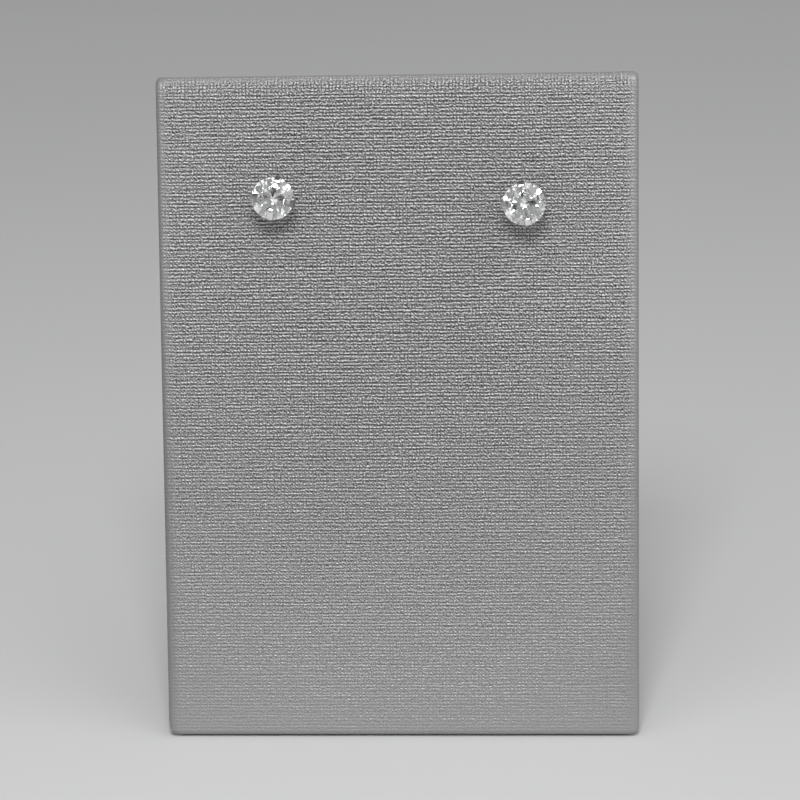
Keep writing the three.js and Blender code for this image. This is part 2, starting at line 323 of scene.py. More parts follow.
def drawn_tight(tree, across):
    """1 on the faces, falling to a little relief where the paper is drawn round a side edge."""
    out = calculate(tree, "ABSOLUTE", across)
    return calculate(tree, "MULTIPLY", ramp(tree, out, *SIDE_WEAR), ramp(tree, out, *SIDE_RUB))


def paper_tone_and_painted_light(tree, sheet, across, relief, pressed, near_top):
    """Tone by depth, with painted light and shade on the ribs, a painted top-edge highlight, painted
    left-edge shade, a lift where flat, and a faint mottle.
    """
    # Painted light and shade of the ribs: lighter on the crests, darker in the hollows.
    tone = calculate(tree, "MULTIPLY", calculate(tree, "POWER", RIB_PAINTED_SHADING, relief), PEARL)
    flat = calculate(tree, "MAXIMUM", calculate(tree, "SUBTRACT", 1.0, pressed), 0.0)
    steeper = calculate(tree, "MULTIPLY_ADD", flat, *FLAT_LIFT)
    flat_lift = calculate(tree, "MULTIPLY_ADD", flat, steeper, 1.0)
    # A painted highlight near the top edge, up to a fifth lighter.
    painted_top_highlight = calculate(tree, "MULTIPLY_ADD", near_top, *TOP_PAINTED_HIGHLIGHT)
    mottle = calculate(tree, "MULTIPLY_ADD", cloud(tree, sheet, MOTTLE_PER_MM, 3.0), *MOTTLE)
    # The factors: the lift where flat, the painted top highlight, the painted shade on the left edge, and
    # a random mottle.
    for factor in (flat_lift, painted_top_highlight, ramp(tree, across, *LEFT_EDGE_PAINTED_SHADE), mottle):
        tone = calculate(tree, "MULTIPLY", tone, factor)
    return calculate(tree, "MINIMUM", tone, PALEST)


def linen_paper():
    """Relief and tone worked out from the sheet, both from one net of ribs."""
    material, tree = new_material("linen_paper")
    uv = add_node(tree, "ShaderNodeUVMap", uv_map="sheet").outputs[0]
    in_mm = (1 / MM, 1 / MM, 1 / MM)
    sheet = add_node(tree, "ShaderNodeMapping", {"Vector": uv, "Scale": in_mm}).outputs[0]
    axes = add_node(tree, "ShaderNodeSeparateXYZ", {"Vector": sheet})
    across, along = axes.outputs[0], axes.outputs[1]
    from_top = calculate(tree, "ABSOLUTE", calculate(tree, "SUBTRACT", along, TOP_EDGE_MM))
    near_top = ramp(tree, from_top, *STROKES_FADE)
    pressed = pressing(tree, along, from_top)
    depth = calculate(tree, "MULTIPLY", pressed, drawn_tight(tree, across))
    patch = calculate(tree, "MULTIPLY_ADD", cloud(tree, sheet, PATCHES_PER_MM, 2.0), *PATCHES)
    relief = linen_relief(tree, sheet, across, along, near_top)
    for factor in (depth, patch):
        relief = calculate(tree, "MULTIPLY", relief, factor)
    bump = add_node(tree, "ShaderNodeBump", {
        "Height": relief, "Distance": RIB_HEIGHT / 2, "Strength": 1.0})
    tone = paper_tone_and_painted_light(tree, sheet, across, relief, pressed, near_top)
    colour = add_node(tree, "ShaderNodeCombineColor", {0: tone, 1: tone, 2: tone})
    finish_material(tree, {
        "Base Color": colour.outputs[0], "Normal": bump.outputs[0]}, Metallic=0.3, Roughness=0.42)
    return material


LINEN = linen_paper()
print("linen material nodes:", len(LINEN.node_tree.nodes))

# %% [markdown]
# ## The covered stand
#
# A stand of this kind is one board, creased into an L, with paper drawn tightly over it. Seen from
# the side it is a closed outline with rounded ends, so the cover is that outline run across the
# width. Near each side the outline shrinks along a quarter circle, which rounds the paper's edge.
# The distance walked along the outline gives the sheet's v, counted so that it is 0 at the fold and
# grows up the panel, and the distance across gives its u. The linen pattern then turns over every
# edge as the paper does.

# %% Outline of the stand
ARC_STEP = math.radians(9)
STRAIGHT_STEP = 1.0 * MM
UP_PANEL = Vector((math.sin(LEAN), math.cos(LEAN)))
INTO_PANEL = Vector((math.cos(LEAN), -math.sin(LEAN)))


def arc_points(corner, before, after, radius):
    """Points of the arc that rounds one corner, with the outward normal of each."""
    to_before = (before - corner).normalized()
    to_after = (after - corner).normalized()
    half = to_before.angle(to_after) / 2
    centre = corner + (to_before + to_after).normalized() * radius / math.sin(half)
    start = corner + to_before * radius / math.tan(half) - centre
    turn = math.pi - 2 * half
    convex = to_before.x * to_after.y - to_before.y * to_after.x < 0
    steps = max(3, round(turn / ARC_STEP))
    points = []
    for i in range(steps + 1):
        angle = turn * i / steps * (1 if convex else -1)
        out = Vector((start.x * math.cos(angle) - start.y * math.sin(angle),
                      start.x * math.sin(angle) + start.y * math.cos(angle)))
        points.append((centre + out, out.normalized() * (1 if convex else -1)))
    return points


def straight_points(start, end):
    """Evenly spaced points strictly between two, all with the start's normal."""
    count = max(1, round((end[0] - start[0]).length / STRAIGHT_STEP))
    return [(start[0].lerp(end[0], i / count), start[1]) for i in range(1, count)]


def stand_outline():
    """The side outline in (Y, Z), anticlockwise seen from +X: each point's place and outward normal."""
    top_front = UP_PANEL * PANEL_HEIGHT
    inner = UP_PANEL * (BOARD - BOARD * INTO_PANEL.y) / UP_PANEL.y + INTO_PANEL * BOARD
    corners = [
        (Vector((FOOT_DEPTH, 0)), END_RADIUS),
        (Vector((FOOT_DEPTH, BOARD)), END_RADIUS),
        (inner, INNER_RADIUS),
        (top_front + INTO_PANEL * BOARD, END_RADIUS),
        (top_front, END_RADIUS),
        (Vector((0, 0)), BEND_RADIUS),
    ]
    walk = []
    for i, (corner, radius) in enumerate(corners):
        points = arc_points(corner, corners[i - 1][0], corners[(i + 1) % len(corners)][0], radius)
        if walk:
            walk += straight_points(walk[-1], points[0])
        walk += points
    return walk + straight_points(walk[-1], walk[0])


def sheet_travel(walk):
    """The sheet's v at each point of the walk: height up the panel, falling to 0 at the fold."""
    travel = [0.0]
    for i in range(1, len(walk) + 1):
        travel.append(travel[-1] + (walk[i % len(walk)][0] - walk[i - 1][0]).length)
    fold_start = UP_PANEL * bend_reach
    start = min(range(len(walk)), key=lambda i: (walk[i][0] - fold_start).length)
    return [bend_reach + travel[start] - distance for distance in travel]


outline = stand_outline()
sheet_v = sheet_travel(outline)
print("outline points:", len(outline), "and v runs from, in mm:", round(1000 * sheet_v[0], 1),
      "to", round(1000 * sheet_v[-1], 1))

# %% [markdown]
# The fold at the foot of the panel wears first. In front view its two corners are rounded off by
# about a millimetre, the left one a little more than the right, while the top corners stay nearly
# square. The fold is stiff and stands a hair off the surface, which gives the stand a thin dark line
# under its front edge. At the top right the folded paper makes a small lump.
# These are pushes on the finished points, each fading out over its own length, so none of them
# leaves a step in the paper.

# %% Small pushes on the paper
# how far in and how far up each end of the fold is rounded, left and right
FOLD_CORNER = {-1: (1.15 * MM, 1.6 * MM), 1: (1.1 * MM, 1.35 * MM)}
FOLD_EDGE, FOLD_SPREAD, FOLD_UNDER = -0.14 * MM, 4, 0.22
FOLD_LIFT, FOLD_LIFT_REACH = 0.17 * MM, 6 * MM
TOP_EASE = 0.08 * MM
LUMP_AT, LUMP_REACH = 23.9 * MM, 0.7 * MM
UNEVEN, UNEVEN_SCALE, UNEVEN_LEAST = 0.012 * MM, 90, 0.2


def fold_rounding(x, v):
    """How far a point near the fold moves in, so that the fold's end is rounded in front view."""
    side = 1 if x > 0 else -1
    inwards, height = FOLD_CORNER[side]
    away = v - FOLD_EDGE if v > FOLD_EDGE else FOLD_UNDER * (FOLD_EDGE - v)
    near = max(0.0, 1 - away / height)
    share = max(0.0, 1 - (HALF_WIDTH - abs(x)) / (FOLD_SPREAD * inwards))
    return side * inwards * share * (1 - math.sqrt(max(0.0, 1 - near * near)))


def cover_point(x, place, normal, shrink, v):
    """One point of the cover in the model's frame, with the small pushes applied."""
    at = place - normal * shrink
    height = at.dot(UP_PANEL)
    x -= fold_rounding(x, v)
    at.y += FOLD_LIFT * math.exp(-(v / FOLD_LIFT_REACH) ** 2)
    bend = noise.noise(Vector((x, at.x, at.y)) * UNEVEN_SCALE) * UNEVEN
    if height > PANEL_HEIGHT - END_RADIUS:
        lump = math.exp(-((x - LUMP_AT) / LUMP_REACH) ** 2)
        at = at - UP_PANEL * TOP_EASE * (1 - lump)
    at = at - normal * (abs(bend) + UNEVEN * UNEVEN_LEAST)
    return Vector((x, front_line + at.x, max(0.0, at.y)))


print("the fold stands off the surface by, in mm:", round(FOLD_LIFT / MM, 2))

# %% Cover mesh
SIDE_RADIUS, SIDE_STEPS, FLAT_STEPS = 0.5 * MM, 6, 24


def side_stations():
    """Places across the width: how far out, how much the outline shrinks, and the sheet's u."""
    stations = []
    for i in range(SIDE_STEPS + 1):
        angle = math.pi / 2 * (1 - i / SIDE_STEPS)
        out = HALF_WIDTH - SIDE_RADIUS + SIDE_RADIUS * math.sin(angle)
        shrink = SIDE_RADIUS * (1 - math.cos(angle))
        stations.append((out, shrink, HALF_WIDTH - SIDE_RADIUS + SIDE_RADIUS * angle))
    flat = HALF_WIDTH - SIDE_RADIUS
    inner = [(flat * (1 - i / FLAT_STEPS), 0.0, flat * (1 - i / FLAT_STEPS))
             for i in range(1, FLAT_STEPS + 1)]
    right = stations + inner
    return [(-x, shrink, -u) for x, shrink, u in right[:-1]] + right[::-1]


def cover_mesh():
    """The outline's ring at each station, joined into one skin with its sheet coordinates."""
    stations = side_stations()
    mesh = bmesh.new()
    sheet = mesh.loops.layers.uv.new("sheet")
    rings = [[mesh.verts.new(cover_point(x, place, normal, shrink, v))
              for (place, normal), v in zip(outline, sheet_v)] for x, shrink, u in stations]
    count = len(outline)
    for j in range(len(stations) - 1):
        for i in range(count):
            near, far = (i + 1) % count, j + 1
            face = mesh.faces.new((rings[j][i], rings[far][i], rings[far][near], rings[j][near]))
            values = ((j, i), (far, i), (far, i + 1), (j, i + 1))
            for loop, (station, walk) in zip(face.loops, values):
                loop[sheet].uv = (stations[station][2], sheet_v[walk])
    for ring, flip in ((rings[0], False), (rings[-1], True)):
        side = mesh.faces.new(ring[::-1] if flip else ring)
        for loop in side.loops:
            at = loop.vert.co
            loop[sheet].uv = (at.x + (at.y - front_line), at.z / math.cos(LEAN))
    mesh.normal_update()
    bmesh.ops.triangulate(mesh, faces=[f for f in mesh.faces if len(f.verts) > 4])
    bmesh.ops.recalc_face_normals(mesh, faces=mesh.faces)
    return mesh


def object_from(mesh, name, material):
    """An object with one material, from a mesh built in code."""
    data = bpy.data.meshes.new(name)
    mesh.to_mesh(data)
    mesh.free()
    data.materials.append(material)
    made = bpy.data.objects.new(name, data)
    bpy.context.scene.collection.objects.link(made)
    return made


cover = object_from(cover_mesh(), "linen_covered_stand", LINEN)
print("cover faces:", len(cover.data.polygons))

# %% [markdown]
# The two post holes are pierced through paper and board with a boolean, just as a pin pierces them.
# The modifier is applied, so the finished piece is a plain mesh. Its faces are smooth across the
# rounded edges, and a crease is kept only where two faces meet at a sharp angle, as at a hole's rim.

# %% Pierce the post holes
HOLE_RADIUS, HOLE_SEGMENTS = 0.7 * MM, 32
COVER_CREASE = 40


def plain_mesh(obj):
    """Replaces an object's mesh with its evaluated one, and drops its modifiers."""
    evaluated = obj.evaluated_get(bpy.context.evaluated_depsgraph_get())
    data = bpy.data.meshes.new_from_object(evaluated)
    obj.modifiers.clear()
    obj.data = data


def carve(obj, cutter):
    """Cuts one object out of another, and drops the cutter."""
    boolean = obj.modifiers.new("carve", "BOOLEAN")
    boolean.object = cutter
    boolean.operation = "DIFFERENCE"
    boolean.solver = "EXACT"
    plain_mesh(obj)
    bpy.data.objects.remove(cutter)


def shade(obj, degrees):
    """Smooth faces, with creases kept where they meet at more than an angle."""
    obj.data.polygons.foreach_set("use_smooth", [True] * len(obj.data.polygons))
    obj.data.set_sharp_from_angle(angle=math.radians(degrees))


def drill():
    """One straight rod through the board for each stud."""
    rods = bmesh.new()
    for stud in STUDS.values():
        bmesh.ops.create_cone(rods, cap_ends=True, segments=HOLE_SEGMENTS, radius1=HOLE_RADIUS,
                              radius2=HOLE_RADIUS, depth=4 * BOARD, matrix=stud_place(stud))
    return rods


carve(cover, object_from(drill(), "drill", LINEN))
shade(cover, COVER_CREASE)
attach(cover, "root")
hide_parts("display_stand")
print("stand faces after piercing:", len(cover.data.polygons))

# %% [markdown]
# ## The stones
#
# A round brilliant is cut by a rule. Eight equal sectors meet in the flat table, and each sector
# holds the same facets: part of the table, one star, two halves of main facets, two upper halves,
# the thin girdle, and their partners below it. So one sector is modelled here, from a few
# proportions, and a Geometry Nodes tree repeats it about the axis, welds the seams, keeps it flat
# shaded and gives it its material.
# Where an upper half facet cuts the round girdle it leaves a scallop, and that curve is followed
# with small steps so that the stone's outline is truly round. The girdle is left ground and dull,
# while the facets are polished, with a ripple too faint to see except in how they break up light.

# %% Clear stone material
STONE_INDEX = 2.16
GIRDLE_DULLNESS = 0.7
POLISH_RIPPLE, POLISH_PER_M = 0.016 * MM, 1700.0


def clear_stone():
    material, tree = new_material("clear_stone")
    ground = add_node(tree, "ShaderNodeAttribute", attribute_type="GEOMETRY", attribute_name="ground")
    dull = calculate(tree, "MULTIPLY", ground.outputs["Fac"], GIRDLE_DULLNESS)
    place = add_node(tree, "ShaderNodeTexCoord").outputs["Object"]
    polish = cloud(tree, place, POLISH_PER_M, 2.0)
    bump = add_node(tree, "ShaderNodeBump", {"Height": polish, "Distance": POLISH_RIPPLE})
    finish_material(tree, {"Roughness": dull, "Normal": bump.outputs[0]},
                    Base_Color=(0.985, 0.99, 0.985, 1), IOR=STONE_INDEX, Transmission_Weight=1.0)
    return material


CLEAR_STONE = clear_stone()
print("clear stone bends light by an index of", STONE_INDEX)

# %% One sector of the stone
STONE_RADIUS = 2.2 * MM
TABLE_RADIUS = 0.58 * STONE_RADIUS
CROWN_SLOPE = math.tan(math.radians(34.5))
PAVILION_ANGLE = math.radians(41)
PAVILION_SLOPE = math.tan(PAVILION_ANGLE)
GIRDLE = 0.12 * MM
CULET_LEVEL = 0.48 * MM
GIRDLE_BOTTOM = CULET_LEVEL + STONE_RADIUS * PAVILION_SLOPE
GIRDLE_TOP = GIRDLE_BOTTOM + GIRDLE
TABLE_LEVEL = GIRDLE_TOP + (STONE_RADIUS - TABLE_RADIUS) * CROWN_SLOPE
SECTORS = 8
STAR_SHARE = 0.5
LOWER_SHARE = 0.77
SCALLOP_STEPS = 6


def polar(radius, angle, level):
    """A point at a radius and an angle round the axis, at a level."""
    return Vector((radius * math.cos(angle), radius * math.sin(angle), level))


def star_point():
    """Radius and level where star, main and upper half facets meet."""
    flat = TABLE_RADIUS * math.cos(math.pi / SECTORS)
    radius = flat + STAR_SHARE * (STONE_RADIUS - flat)
    return radius, TABLE_LEVEL - (radius * math.cos(math.pi / SECTORS) - TABLE_RADIUS) * CROWN_SLOPE


def lower_point():
    """Radius and level where main and lower half facets meet."""
    radius = STONE_RADIUS * (1 - LOWER_SHARE)
    return radius, CULET_LEVEL + radius * math.cos(math.pi / SECTORS) * PAVILION_SLOPE


def scallop(apex, start, end):
    """The line where the facet through three points cuts the round girdle."""
    normal = (start - apex).cross(end - apex)
    first, last = math.atan2(start.y, start.x), math.atan2(end.y, end.x)
    line = []
    for i in range(SCALLOP_STEPS + 1):
        angle = first + (last - first) * i / SCALLOP_STEPS
        at = polar(STONE_RADIUS, angle, 0)
        at.z = apex.z - (normal.x * (at.x - apex.x) + normal.y * (at.y - apex.y)) / normal.z
        line.append(at)
    return line


def stone_sector():
    """All the facets of one sector as loose faces, with the girdle's marked as ground."""
    half = math.pi / SECTORS
    star_radius, star_level = star_point()
    lower_radius, lower_level = lower_point()
    table, culet = Vector((0, 0, TABLE_LEVEL)), Vector((0, 0, CULET_LEVEL))
    left, right = polar(TABLE_RADIUS, 0, TABLE_LEVEL), polar(TABLE_RADIUS, 2 * half, TABLE_LEVEL)
    star, lower = polar(star_radius, half, star_level), polar(lower_radius, half, lower_level)
    girdle = [polar(STONE_RADIUS, k * half, 0) for k in range(3)]
    top = [g + Vector((0, 0, GIRDLE_TOP)) for g in girdle]
    bottom = [g + Vector((0, 0, GIRDLE_BOTTOM)) for g in girdle]
    facets = [(table, left, right), (left, star, right), (left, top[0], star), (right, star, top[2]),
              (culet, lower, bottom[0]), (culet, bottom[2], lower)]
    girdle_faces = []
    for k in (0, 1):
        upper = scallop(star, top[k], top[k + 1])
        under = scallop(lower, bottom[k], bottom[k + 1])
        facets.append((star, *upper))
        facets.append((lower, *under[::-1]))
        for i in range(SCALLOP_STEPS):
            girdle_faces.append((upper[i], under[i], under[i + 1], upper[i + 1]))
    mesh = bmesh.new()
    ground = mesh.faces.layers.float.new("ground")
    for facet in facets + girdle_faces:
        face = mesh.faces.new([mesh.verts.new(corner) for corner in facet])
        face[ground] = 1.0 if facet in girdle_faces else 0.0
    return mesh


sector = object_from(stone_sector(), "stone_sector", CLEAR_STONE)
print("facets in one sector:", len(sector.data.polygons))

# %% [markdown]
# The tree makes as many points as there are sectors, puts a copy of the sector on each, turned one
# step further every time, and merges the points where the copies meet. All the points are at the
# origin, so it is the turn alone that spreads the copies. Each finished stone is then spun in its
# setting by its own amount, since no jeweller lines up the facets of a pair.

# %% Repeat the sector about the axis
WELD = 1e-7


def new_tree(name, inputs):
    """A Geometry Nodes tree with a geometry input, named inputs and a geometry output."""
    tree = bpy.data.node_groups.new(name, "GeometryNodeTree")
    tree.interface.new_socket("Geometry", in_out="INPUT", socket_type="NodeSocketGeometry")
    for label, (kind, value) in inputs.items():
        socket = tree.interface.new_socket(label, in_out="INPUT", socket_type="NodeSocket" + kind)
        if value is not None:
            socket.default_value = value
    tree.interface.new_socket("Geometry", in_out="OUTPUT", socket_type="NodeSocketGeometry")
    return tree, tree.nodes.new("NodeGroupInput").outputs


def end_tree(tree, geometry, material):
    """Realize Instances and Set Material, then the output."""
    real = add_node(tree, "GeometryNodeRealizeInstances", {"Geometry": geometry})
    dressed = add_node(tree, "GeometryNodeSetMaterial", {
        "Geometry": real.outputs[0], "Material": material})
    add_node(tree, "NodeGroupOutput", {"Geometry": dressed.outputs[0]})


def set_inputs(modifier, values):
    """A modifier's inputs, given by name, are set by their sockets' identifiers."""
    for item in modifier.node_group.interface.items_tree:
        if item.in_out == "INPUT" and item.name in values:
            modifier[item.identifier] = values[item.name]


def turned_copies_tree():
    """Copies of a sector turned about the axis, and welded into one shape."""
    tree, given = new_tree("turned_copies", {
        "Count": ("Int", SECTORS), "Weld": ("Float", WELD), "Material": ("Material", None)})
    points = add_node(tree, "GeometryNodePoints", {"Count": given["Count"]})
    index = add_node(tree, "GeometryNodeInputIndex")
    step = calculate(tree, "DIVIDE", 2 * math.pi, given["Count"])
    turn = calculate(tree, "MULTIPLY", index.outputs[0], step)
    angle = add_node(tree, "ShaderNodeCombineXYZ", {2: turn})
    spin = add_node(tree, "FunctionNodeEulerToRotation", {0: angle.outputs[0]})
    copies = add_node(tree, "GeometryNodeInstanceOnPoints", {
        "Points": points.outputs[0], "Instance": given["Geometry"], "Rotation": spin.outputs[0]})
    real = add_node(tree, "GeometryNodeRealizeInstances", {"Geometry": copies.outputs[0]})
    welded = add_node(tree, "GeometryNodeMergeByDistance", {
        "Geometry": real.outputs[0], "Distance": given["Weld"]})
    end_tree(tree, welded.outputs[0], given["Material"])
    return tree


def from_tree(source, tree, name, values, place):
    """A plain mesh object made by a tree, with its place applied to its mesh."""
    made = bpy.data.objects.new(name, source.data)
    bpy.context.scene.collection.objects.link(made)
    modifier = made.modifiers.new(tree.name, "NODES")
    modifier.node_group = tree
    set_inputs(modifier, values)
    made.update_tag()
    bpy.context.view_layer.update()
    plain_mesh(made)
    made.data.transform(place)
    return made


copies_tree = turned_copies_tree()
for side, stud in STUDS.items():
    values = {"Count": SECTORS, "Weld": WELD, "Material": CLEAR_STONE}
    place = stud_place(stud) @ Matrix.Rotation(stud["spin"], 4, "Z")
    stone = from_tree(sector, copies_tree, f"{side}_brilliant", values, place)
    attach(stone, "root")
    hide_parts(f"{side}_stone")
    print(stone.name, "has", len(stone.data.polygons), "faces and", len(stone.data.vertices), "points")
bpy.data.objects.remove(sector)

# %% [markdown]
# ## The claw settings
#
# A setting like this is soldered from a few plain parts: a disc with the ear post, a gallery ring
# that holds the claws apart, and four flat bars. The disc, post and ring are turned shapes, spun from
# their outlines.
# The silver is polished but not new. A haze changes its gloss and dents it very slightly, a fine rub
# lies over that, and a cloudy tarnish leaves some patches darker than the rest.

# %% Polished silver material
RUB_PER_M, HAZE_PER_M, TARNISH_PER_M = 5000.0, 900.0, 1300.0
HAZE_SHARE, HAZE_GLOSS = 12.0, (0.12, 0.06)
SILVER_RIPPLE, SILVER_WARMTH = 0.004 * MM, 0.985
TARNISH_FROM, TARNISH_TO, TARNISHED, BRIGHT = 0.4, 0.56, 0.3, 0.84


def polished_silver():
    material, tree = new_material("polished_silver")
    place = add_node(tree, "ShaderNodeTexCoord").outputs["Object"]
    haze = cloud(tree, place, HAZE_PER_M, 2.0)
    gloss = calculate(tree, "MULTIPLY_ADD", haze, *HAZE_GLOSS)
    height = calculate(tree, "MULTIPLY_ADD", haze, HAZE_SHARE, cloud(tree, place, RUB_PER_M, 3.0))
    bump = add_node(tree, "ShaderNodeBump", {"Height": height, "Distance": SILVER_RIPPLE})
    spots = cloud(tree, place, TARNISH_PER_M, 1.0)
    tone = ramp(tree, spots, TARNISH_FROM, TARNISH_TO, TARNISHED, BRIGHT)
    warmer = calculate(tree, "MULTIPLY", tone, SILVER_WARMTH)
    colour = add_node(tree, "ShaderNodeCombineColor", {0: tone, 1: tone, 2: warmer})
    finish_material(tree, {
        "Base Color": colour.outputs[0], "Roughness": gloss, "Normal": bump.outputs[0]}, Metallic=1.0)
    return material


SILVER = polished_silver()
print("silver tone from", TARNISHED, "where tarnished to", BRIGHT)

# %% Turned parts of a setting
POST_LENGTH, POST_RADIUS = 9.6 * MM, 0.4 * MM
POST_NOSE, POST_NOSE_STEPS = 0.8, 5
POST_FILLET = 0.06 * MM
DISC_RADIUS = 1.25 * MM
DISC_BOTTOM, DISC_TOP = 0.1 * MM, 0.4 * MM
DISC_EASE = 0.07 * MM
RING_LEVEL, RING_BAND = 1.45 * MM, 0.35 * MM
RING_INNER, RING_OUTER = 1.35 * MM, 1.78 * MM
RING_STEPS, RING_ROUNDNESS = 16, 0.6
TURN_STEPS = 64


def turned_loop(mesh, outline, closed):
    """A closed solid spun from (radius, level) points, listed anticlockwise in the (r, z) plane."""
    rings = []
    for radius, level in outline:
        if radius == 0:
            rings.append([mesh.verts.new((0, 0, level))])
        else:
            rings.append([mesh.verts.new(polar(radius, 2 * math.pi * k / TURN_STEPS, level))
                          for k in range(TURN_STEPS)])
    pairs = list(zip(rings, rings[1:])) + ([(rings[-1], rings[0])] if closed else [])
    for low, high in pairs:
        for k in range(TURN_STEPS):
            n = (k + 1) % TURN_STEPS
            corners = [low[k % len(low)], low[n % len(low)], high[n % len(high)], high[k % len(high)]]
            mesh.faces.new(list(dict.fromkeys(corners)))


def post_and_disc():
    """Half the outline of the disc and its post, from the post's blunt tip up."""
    points = [(0, -POST_LENGTH)]
    for k in range(1, POST_NOSE_STEPS + 1):
        angle = math.pi / 2 * k / POST_NOSE_STEPS
        rise = POST_RADIUS * POST_NOSE * (1 - math.cos(angle))
        points.append((POST_RADIUS * math.sin(angle), -POST_LENGTH + rise))
    return points + [
        (POST_RADIUS, DISC_BOTTOM - POST_FILLET), (POST_RADIUS + POST_FILLET, DISC_BOTTOM),
        (DISC_RADIUS - DISC_EASE, DISC_BOTTOM), (DISC_RADIUS, DISC_BOTTOM + DISC_EASE),
        (DISC_RADIUS, DISC_TOP - DISC_EASE), (DISC_RADIUS - DISC_EASE, DISC_TOP), (0, DISC_TOP)]


def gallery_ring():
    """The ring's section, a rectangle with soft corners."""
    middle, band = (RING_INNER + RING_OUTER) / 2, (RING_OUTER - RING_INNER) / 2
    points = []
    for k in range(RING_STEPS):
        angle = 2 * math.pi * k / RING_STEPS
        out, up = [math.copysign(abs(v) ** RING_ROUNDNESS, v) for v in (math.cos(angle), math.sin(angle))]
        points.append((middle + band * out, RING_LEVEL + RING_BAND / 2 * up))
    return points


def setting_base():
    """The disc with its post, and the ring, as two closed solids."""
    mesh = bmesh.new()
    turned_loop(mesh, post_and_disc(), closed=False)
    turned_loop(mesh, gallery_ring(), closed=True)
    bmesh.ops.recalc_face_normals(mesh, faces=mesh.faces)
    return mesh


base = object_from(setting_base(), "setting_base", SILVER)
print("turned parts:", len(base.data.polygons), "faces")

# %% [markdown]
# The bars stand on the disc, flare out to the stone's edge and are folded in over the crown, each at
# its own angle and by its own amount, as the setter pressed it.
# A bar follows a path, so a Geometry Nodes group bends one from four points: the foot, the flare, the
# shoulder and the tip. It fillets the bends, sweeps a flat section with eased edges along them and
# narrows it at the tip.

# %% Path of a claw
CLAW_WIDTH, CLAW_THICKNESS = 0.8 * MM, 0.45 * MM
CLAW_SHOULDER = 2.4 * MM
CLAW_FOOT, CLAW_SINK = 1.15 * MM, 0.03 * MM
CLAW_COVER, CLAW_RISE, FLARE_DROP = 0.3 * MM, 0.12 * MM, 0.5 * MM
STONE_GAP = 0.05 * MM
SHOULDER_LEVEL = GIRDLE_TOP + CLAW_RISE + CLAW_COVER
FLARE_LEVEL = GIRDLE_BOTTOM - FLARE_DROP
CLAW_BENDS = (0.0, 0.5 * MM, 0.3 * MM, 0.0)
BEND_STEPS, CLAW_STEPS = 8, 44


def by_index(tree, kind, values):
    """An Index Switch that gives each point of a short path its own value, or its own socket's."""
    index = add_node(tree, "GeometryNodeInputIndex").outputs[0]
    switch = add_node(tree, "GeometryNodeIndexSwitch", {"Index": index}, data_type=kind)
    while len(switch.index_switch_items) < len(values):
        switch.index_switch_items.new()
    for k, value in enumerate(values):
        if isinstance(value, bpy.types.NodeSocket):
            tree.links.new(value, switch.inputs[k + 1])
        else:
            switch.inputs[k + 1].default_value = value
    return switch.outputs[0]


def claw_path(tree, given):
    """The middle line of a bar, with its bends rounded."""
    half = calculate(tree, "MULTIPLY", given["Thickness"], 0.5)
    line = calculate(tree, "SUBTRACT", given["Shoulder"], half)
    tip = calculate(tree, "SUBTRACT", given["Shoulder"], given["Reach"])
    rise = calculate(tree, "MULTIPLY", calculate(tree, "SUBTRACT", STONE_RADIUS, tip), CROWN_SLOPE)
    nose = calculate(tree, "ADD", rise, GIRDLE_TOP + STONE_GAP + CLAW_COVER)
    corners = (
        (CLAW_FOOT - CLAW_THICKNESS / 2, DISC_BOTTOM + CLAW_SINK), (line, FLARE_LEVEL),
        (line, calculate(tree, "SUBTRACT", SHOULDER_LEVEL, half)),
        (tip, calculate(tree, "SUBTRACT", nose, half)))
    places = [add_node(tree, "ShaderNodeCombineXYZ", {0: out, 1: level}).outputs[0]
              for out, level in corners]
    points = add_node(tree, "GeometryNodePoints", {
        "Count": len(corners), "Position": by_index(tree, "VECTOR", places)})
    path = add_node(tree, "GeometryNodePointsToCurves", {"Points": points.outputs[0]})
    bent = add_node(tree, "GeometryNodeFilletCurve", {
        "Curve": path.outputs[0], "Radius": by_index(tree, "FLOAT", CLAW_BENDS),
        "Count": BEND_STEPS}, mode="POLY")
    even = add_node(tree, "GeometryNodeResampleCurve", {"Curve": bent.outputs[0], "Count": CLAW_STEPS})
    return even.outputs[0]


print("a claw flares out at", round(FLARE_LEVEL / MM, 2), "mm and folds in at",
      round(SHOULDER_LEVEL / MM, 2), "mm above the panel")

# %% One claw as a node group
NOSE_LENGTH, NOSE_END = 0.16 * MM, 0.45
EDGE_EASE, EDGE_STEPS = 0.16 * MM, 5


def nose_scale(tree):
    """1 along the bar, falling in a quarter oval over the last stretch before the tip."""
    walk = add_node(tree, "GeometryNodeSplineParameter").outputs["Length"]
    whole = add_node(tree, "GeometryNodeSplineLength").outputs[0]
    to_go = calculate(tree, "DIVIDE", calculate(tree, "SUBTRACT", whole, walk), NOSE_LENGTH)
    near_end = calculate(tree, "MAXIMUM", calculate(tree, "SUBTRACT", 1.0, to_go), 0.0)
    lost = calculate(tree, "MULTIPLY", near_end, 1 - NOSE_END ** 2)
    lost = calculate(tree, "MULTIPLY", near_end, lost)
    return calculate(tree, "SQRT", calculate(tree, "SUBTRACT", 1.0, lost))


